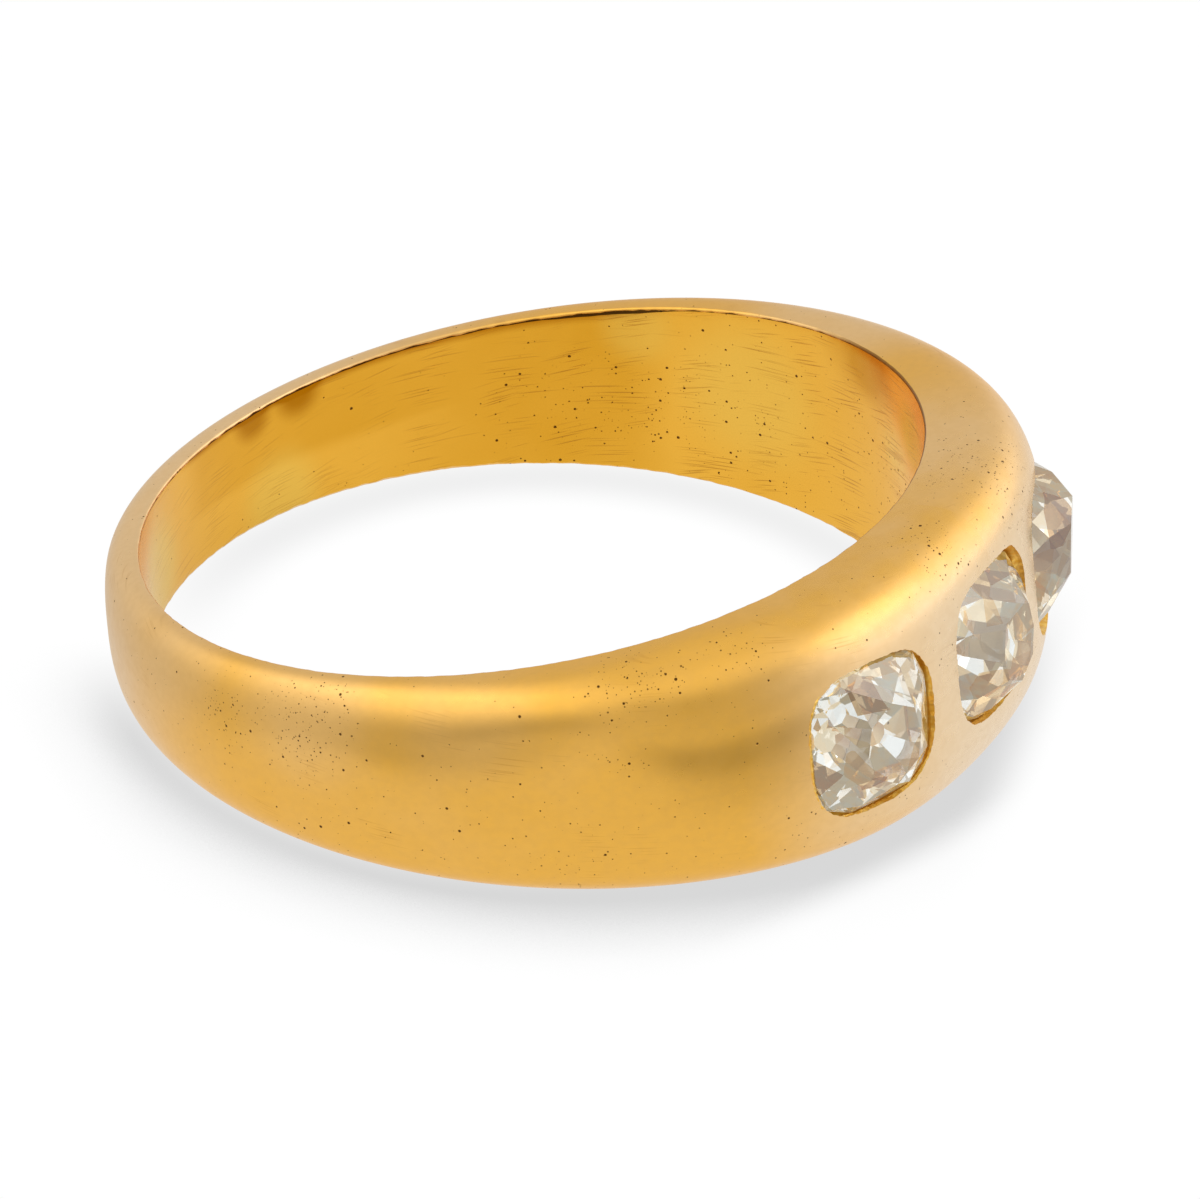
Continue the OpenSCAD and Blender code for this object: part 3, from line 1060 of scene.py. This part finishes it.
def diamond_material():
    made, tree, glass = blank_material("old_diamond")
    here = object_place(tree)
    cloud = noise_of(tree, here, 900.0, 3.0)
    shards = add_node(tree, "ShaderNodeTexVoronoi", named={"Vector": here, "Scale": 1150.0})
    chance, other, _ = parts_of(tree, shards.outputs["Color"])
    tan_reflection_shard = smooth(tree, chance, 0.66, 0.69)
    brown_reflection_shard = smooth(tree, other, 0.80, 0.83)
    clear, milky = (0.94, 0.97, 0.98, 1), (0.88, 0.93, 0.94, 1)
    tan, brown, dark = (0.62, 0.45, 0.22, 1), (0.27, 0.14, 0.04, 1), (0.01, 0.01, 0.01, 1)
    colour = mix_colour(tree, cloud, clear, milky)
    colour = mix_colour(tree, tan_reflection_shard, colour, tan)
    colour = mix_colour(tree, brown_reflection_shard, colour, brown)
    dirt = spots(tree, [(-26, 0.18, 0.05, 1.0)], hole_r + 3.15)
    colour = mix_colour(tree, dirt, colour, dark)
    plug(tree, colour, glass.inputs["Base Color"])
    # The glow follows the same splinters, in much darker colours
    grey_glow, tan_glow = (0.046, 0.046, 0.036, 1), (0.066, 0.038, 0.008, 1)
    brown_glow, no_glow = (0.04, 0.016, 0.001, 1), (0, 0, 0, 1)
    glow = mix_colour(tree, tan_reflection_shard, grey_glow, tan_glow)
    glow = mix_colour(tree, brown_reflection_shard, glow, brown_glow)
    glow = mix_colour(tree, dirt, glow, no_glow)
    plug(tree, glow, glass.inputs["Emission Color"])
    glass.inputs["Emission Strength"].default_value = 1.0
    glass.inputs["Roughness"].default_value = 0.0
    glass.inputs["IOR"].default_value = diamond_ior
    glass.inputs["Transmission Weight"].default_value = 1.0
    return made


old_diamond = diamond_material()
print(old_diamond.name, "has", len(old_diamond.node_tree.nodes), "nodes")
for name in seats:
    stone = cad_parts["diamond_" + name]
    for slot in stone.material_slots:
        slot.material = old_diamond
    print(stone.name, len(stone.data.polygons), "facet triangles")

# %% [markdown]
# ## Floor and light
# The photograph was taken on a lit white table under soft panels, open and darker on the camera's
# side. The table is a wide plane that glows. What the camera sees of it is white, less a faint
# shadow close round the ring, and what the gold mirrors of it has two dark cards in front.


# %% Directions and distances on the table
def direction(azimuth, height):
    a, h = math.radians(azimuth), math.radians(height)
    return Vector((math.cos(h) * math.cos(a), math.cos(h) * math.sin(a), math.sin(h)))


def towards(tree, vector, azimuth, height):
    """How far a vector goes in one direction."""
    node = add_node(tree, "ShaderNodeVectorMath", vector, direction(azimuth, height),
                    operation="DOT_PRODUCT")
    return number(tree, node, "Value")


def towards_side(tree, vector, azimuth, near, far):
    """Rises from 0 to 1 between two distances in millimetres on one side of the middle."""
    return smooth(tree, towards(tree, vector, azimuth, 0) * TO_MM, near, far)


# %% Floor
def table_material():
    made, tree, white = blank_material("white_table")
    here = object_place(tree)
    front = smooth(tree, away_from(tree, here, direction(-38, 0) * 28), 7.0, 11.5, 1.0, 0.0)
    near = smooth(tree, away_from(tree, here, direction(-93, 0) * 31), 10.0, 15.0, 0.27, 0.0)
    left = towards_side(tree, here, 180, 5.0, 13.0)
    rays = tree.nodes.new("ShaderNodeLightPath").outputs
    through = Wire(tree, rays["Is Transmission Ray"])
    glow = 0.85 - (front * 0.53 + near + left * 0.17) * (1 - through * 0.6)
    hidden = add_node(tree, "ShaderNodeAmbientOcclusion", samples=8, named={"Distance": 5 * MM})
    x, y, _ = parts_of(tree, here)
    from_middle = (x * x + y * y).do("SQRT") * TO_MM
    outside = smooth(tree, from_middle, 8.0, 10.5)
    in_hole = smooth(tree, from_middle, hole_r - 2.2, hole_r) * (1 - outside)
    covered = smooth(tree, 1 - Wire(tree, hidden.outputs["AO"]), 0.15, 0.5)
    sides = towards_side(tree, here, -80, 1.0, 6.0)
    sides = sides.do("MAXIMUM", towards_side(tree, here, -20, 5.0, 10.0))
    sides = sides * (1 - towards_side(tree, here, 12, 10.6, 12.4))
    sides = sides * (1 - towards_side(tree, here, -23, 11.3, 12.8) * 0.8)
    shadow = covered * outside * sides * 0.32
    shadow = shadow + in_hole * towards_side(tree, here, 113, -1.0, 6.0) * 0.2
    plain = noise_of(tree, here, 300.0) * 0.004 + 1.004
    seen = Wire(tree, rays["Is Camera Ray"])
    shaded = tree.nodes.new("ShaderNodeBsdfPrincipled")
    for paper, strength in ((white, seen * (plain - glow) + glow), (shaded, plain - shadow)):
        paper.inputs["Base Color"].default_value = (0, 0, 0, 1)
        paper.inputs["Specular IOR Level"].default_value = 0.0
        paper.inputs["Roughness"].default_value = 1.0
        paper.inputs["Emission Color"].default_value = (1, 1, 1, 1)
        plug(tree, strength, paper.inputs["Emission Strength"])
    # The shadow is worked out only where it can fall, which saves time
    near_ring = seen * from_middle.do("LESS_THAN", 17.5)
    either = add_node(tree, "ShaderNodeMixShader", near_ring, white.outputs[0], shaded.outputs[0])
    plug(tree, either.outputs[0], tree.nodes["Material Output"].inputs["Surface"])
    return made


table_half = 0.6  # metres
plane = bmesh.new()
bmesh.ops.create_grid(plane, x_segments=8, y_segments=8, size=table_half)
floor_mesh = finished("floor", plane)
floor_mesh.materials.append(table_material())
floor = add_object("floor", floor_mesh)
print(f"The table is {2 * table_half} m wide")


# %% [markdown]
# The room is a world of soft light: brighter from the right, the left and above, darker in front.
# Round panels are summed by the angle between a ray and each panel's direction, which is easier to
# fit to a photograph than a painted sky. Two soft boxes add the clear highlights.


# %% Soft room
def soft_room():
    world = bpy.data.worlds.new("soft_room")
    world.use_nodes = True
    tree = world.node_tree
    tree.nodes.clear()
    ray = tree.nodes.new("ShaderNodeTexCoord").outputs["Generated"]
    light = None
    # Each panel: azimuth, height, reach in degrees, and how much light it adds or takes
    panels = [
        (25, 22, 62, 0.46),
        (-165, 48, 45, 0.35),
        (-100, 50, 42, 0.36),
        (-93, -12, 52, -0.38),
        (62, 5, 40, 0.20),
        (-20, -6, 30, -0.42),
        (-38, 27, 19, -0.32),
        (130, 8, 46, -0.09),
    ]
    for azimuth, height, reach, strength in panels:
        facing = towards(tree, ray, azimuth, height)
        glow = smooth(tree, facing, math.cos(math.radians(reach)), 1.0, 0.0, strength)
        light = glow if light is None else light + glow
    rays = tree.nodes.new("ShaderNodeLightPath").outputs
    # What is seen through a stone is lit more evenly, as it is between real white walls
    through = Wire(tree, rays["Is Transmission Ray"])
    strength = (light + 0.78) * (1 - through * 0.45) + through * 0.38
    shade = add_node(tree, "ShaderNodeBackground", (1, 1, 1, 1))
    plug(tree, strength, shade.inputs["Strength"])
    plain = add_node(tree, "ShaderNodeBackground", (1, 1, 1, 1), 1.0)
    either = add_node(tree, "ShaderNodeMixShader", rays["Is Camera Ray"], shade.outputs[0],
                      plain.outputs[0])
    out = tree.nodes.new("ShaderNodeOutputWorld")
    tree.links.new(either.outputs[0], out.inputs["Surface"])
    return world


bpy.context.scene.world = soft_room()
print("World:", bpy.context.scene.world.name)


# %% Soft boxes
def soft_box(name, azimuth, height, distance, width, tall, brightness):
    """A panel light aimed at the ring. Brightness is what a mirror would show of it."""
    data = bpy.data.lights.new(name, "AREA")
    data.shape, data.size, data.size_y = "RECTANGLE", width, tall
    data.energy = brightness * math.pi * width * tall
    lamp = add_object(name, data)
    toward = direction(azimuth, height)
    lamp.matrix_world = toward.to_track_quat("Z", "Y").to_matrix().to_4x4()
    lamp.location = toward * distance + ring_centre * MM


soft_box("box_right", 15, 40, 0.5, 0.35, 0.3, 0.45)
soft_box("box_left", -165, 50, 0.5, 0.22, 0.22, 0.35)

view = bpy.context.scene.view_settings
view.view_transform = "Standard"
view.look = "None"
